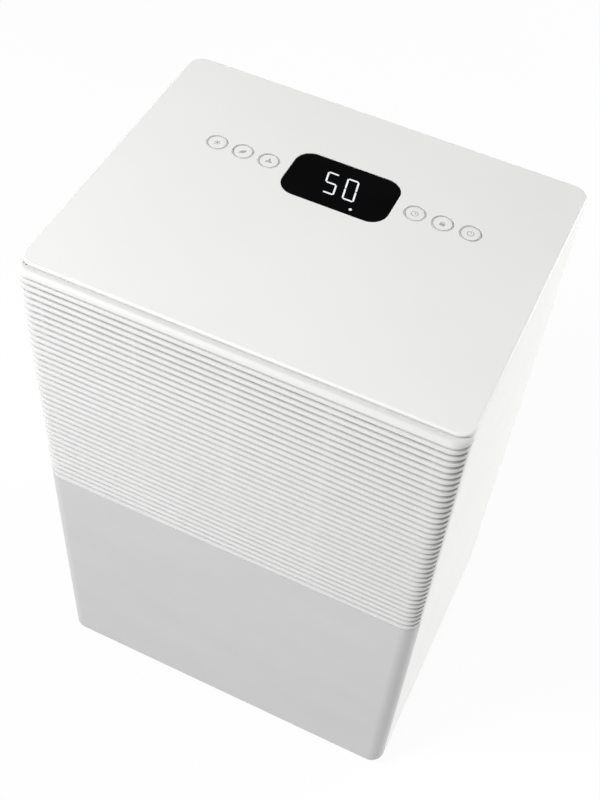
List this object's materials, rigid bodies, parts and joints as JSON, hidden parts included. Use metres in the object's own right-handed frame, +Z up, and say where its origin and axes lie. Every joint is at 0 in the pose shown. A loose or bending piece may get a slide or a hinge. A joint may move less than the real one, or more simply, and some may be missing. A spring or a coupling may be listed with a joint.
{
  "type": "dehumidifier",
  "caption": "Upright white compressor dehumidifier with a louvred front, a pull-out water tank, a display lens and touch keys on its flat top, and castors.",
  "frame": {"origin": "on the floor, under the middle of the cabinet", "axes": "+Z up; -Y is the front with the louvres and the tank; +X is the right-hand side seen from the front"},
  "size_m": [0.34, 0.274, 0.536],
  "materials": {
    "white_top": "satin",
    "white_plastic": "fine satin texture",
    "panel_grey": "fine satin texture",
    "gloss_black": "polished",
    "lit_white": "lit",
    "black_plastic": "fine texture",
    "grey_plastic": "satin",
    "fan_plastic": "satin",
    "mesh_fabric": "woven",
    "board_green": "solder mask",
    "switch_black": "smooth",
    "fin_aluminium": "bright",
    "can_aluminium": "brushed",
    "black_paint": "semi-gloss",
    "zinc_steel": "zinc plated",
    "copper": "bare copper",
    "rubber_black": "matt",
    "wheel_rubber": "matt",
    "hose_clear": "smooth",
    "tank_clear": "polished, translucent"
  },
  "bodies": {
    "cabinet": {"base_pan": "black_plastic", "deck": "black_plastic", "bay_partition": "black_plastic", "rear_shell": "white_plastic", "top_cover": "white_top", "front_grille": "white_plastic", "display_lens": "gloss_black", "lit_digits": "lit_white", "display_board": "board_green", "key_switches": "switch_black", "electronics_box": "grey_plastic", "power_board": "board_green", "evaporator": "fin_aluminium", "condenser": "fin_aluminium", "drip_tray": "grey_plastic", "compressor": "black_paint", "compressor_grommets": "rubber_black", "compressor_bolts": "zinc_steel", "suction_line": "copper", "discharge_line": "copper", "capillary_tube": "copper", "run_capacitor": "can_aluminium", "fan_shroud": "black_plastic", "fan_motor": "zinc_steel", "motor_bracket": "zinc_steel", "outlet_grille": "white_plastic", "rear_grip_cup": "white_plastic", "drain_spout": "black_plastic", "drain_hose": "hose_clear", "cord_gland": "rubber_black", "tank_switch": "switch_black", "cover_screws": "zinc_steel"},
    "tank": {"tank_body": "tank_clear", "tank_front": "panel_grey", "tank_lid": "white_plastic"},
    "float": {"tank_float": "white_plastic"},
    "filter": {"filter_frame": "grey_plastic", "filter_mesh": "mesh_fabric"},
    "fan": {"motor_shaft": "zinc_steel", "fan_wheel": "fan_plastic"},
    "plug": {"drain_plug": "rubber_black"},
    "key_fan_speed": {"key_fan_speed": "white_top"},
    "key_mode": {"key_mode": "white_top"},
    "key_swing": {"key_swing": "white_top"},
    "key_timer": {"key_timer": "white_top"},
    "key_lock": {"key_lock": "white_top"},
    "key_power": {"key_power": "white_top"},
    "castor_fl": {"castor_fork_fl": "black_plastic", "castor_axle_fl": "zinc_steel"},
    "wheel_fl": {"castor_wheel_fl": "wheel_rubber"},
    "castor_fr": {"castor_fork_fr": "black_plastic", "castor_axle_fr": "zinc_steel"},
    "wheel_fr": {"castor_wheel_fr": "wheel_rubber"},
    "castor_rl": {"castor_fork_rl": "black_plastic", "castor_axle_rl": "zinc_steel"},
    "wheel_rl": {"castor_wheel_rl": "wheel_rubber"},
    "castor_rr": {"castor_fork_rr": "black_plastic", "castor_axle_rr": "zinc_steel"},
    "wheel_rr": {"castor_wheel_rr": "wheel_rubber"}
  },
  "joints": [
    {"name": "tank_slide", "type": "slide", "parent": "cabinet", "child": "tank", "axis": [0, -1, 0], "range_m": [0, 0.16]},
    {"name": "float_pivot", "type": "hinge", "parent": "tank", "child": "float", "pos_m": [0.13, -0.03, 0.2374], "axis": [-1, 0, 0], "range_deg": [0, 18]},
    {"name": "filter_slide", "type": "slide", "parent": "cabinet", "child": "filter", "axis": [-1, 0, 0], "range_m": [0, 0.3]},
    {"name": "fan_spin", "type": "hinge", "parent": "cabinet", "child": "fan", "pos_m": [0, 0, 0.392], "axis": [0, 1, 0], "continuous": true},
    {"name": "plug_slide", "type": "slide", "parent": "cabinet", "child": "plug", "axis": [0, 1, 0], "range_m": [0, 0.025]},
    {"name": "key_fan_speed_press", "type": "slide", "parent": "cabinet", "child": "key_fan_speed", "axis": [0, 0, -1], "range_m": [0, 0.0006], "stiffness_N_per_m": 800},
    {"name": "key_mode_press", "type": "slide", "parent": "cabinet", "child": "key_mode", "axis": [0, 0, -1], "range_m": [0, 0.0006], "stiffness_N_per_m": 800},
    {"name": "key_swing_press", "type": "slide", "parent": "cabinet", "child": "key_swing", "axis": [0, 0, -1], "range_m": [0, 0.0006], "stiffness_N_per_m": 800},
    {"name": "key_timer_press", "type": "slide", "parent": "cabinet", "child": "key_timer", "axis": [0, 0, -1], "range_m": [0, 0.0006], "stiffness_N_per_m": 800},
    {"name": "key_lock_press", "type": "slide", "parent": "cabinet", "child": "key_lock", "axis": [0, 0, -1], "range_m": [0, 0.0006], "stiffness_N_per_m": 800},
    {"name": "key_power_press", "type": "slide", "parent": "cabinet", "child": "key_power", "axis": [0, 0, -1], "range_m": [0, 0.0006], "stiffness_N_per_m": 800},
    {"name": "castor_swivel_fl", "type": "hinge", "parent": "cabinet", "child": "castor_fl", "pos_m": [-0.132, -0.086, 0.035], "axis": [0, 0, 1], "continuous": true},
    {"name": "wheel_spin_fl", "type": "hinge", "parent": "castor_fl", "child": "wheel_fl", "pos_m": [-0.132, -0.076, 0.014], "axis": [1, 0, 0], "continuous": true},
    {"name": "castor_swivel_fr", "type": "hinge", "parent": "cabinet", "child": "castor_fr", "pos_m": [0.132, -0.086, 0.035], "axis": [0, 0, 1], "continuous": true},
    {"name": "wheel_spin_fr", "type": "hinge", "parent": "castor_fr", "child": "wheel_fr", "pos_m": [0.132, -0.076, 0.014], "axis": [1, 0, 0], "continuous": true},
    {"name": "castor_swivel_rl", "type": "hinge", "parent": "cabinet", "child": "castor_rl", "pos_m": [-0.132, 0.0985, 0.035], "axis": [0, 0, 1], "continuous": true},
    {"name": "wheel_spin_rl", "type": "hinge", "parent": "castor_rl", "child": "wheel_rl", "pos_m": [-0.132, 0.1085, 0.014], "axis": [1, 0, 0], "continuous": true},
    {"name": "castor_swivel_rr", "type": "hinge", "parent": "cabinet", "child": "castor_rr", "pos_m": [0.132, 0.0985, 0.035], "axis": [0, 0, 1], "continuous": true},
    {"name": "wheel_spin_rr", "type": "hinge", "parent": "castor_rr", "child": "wheel_rr", "pos_m": [0.132, 0.1085, 0.014], "axis": [1, 0, 0], "continuous": true}
  ]
}
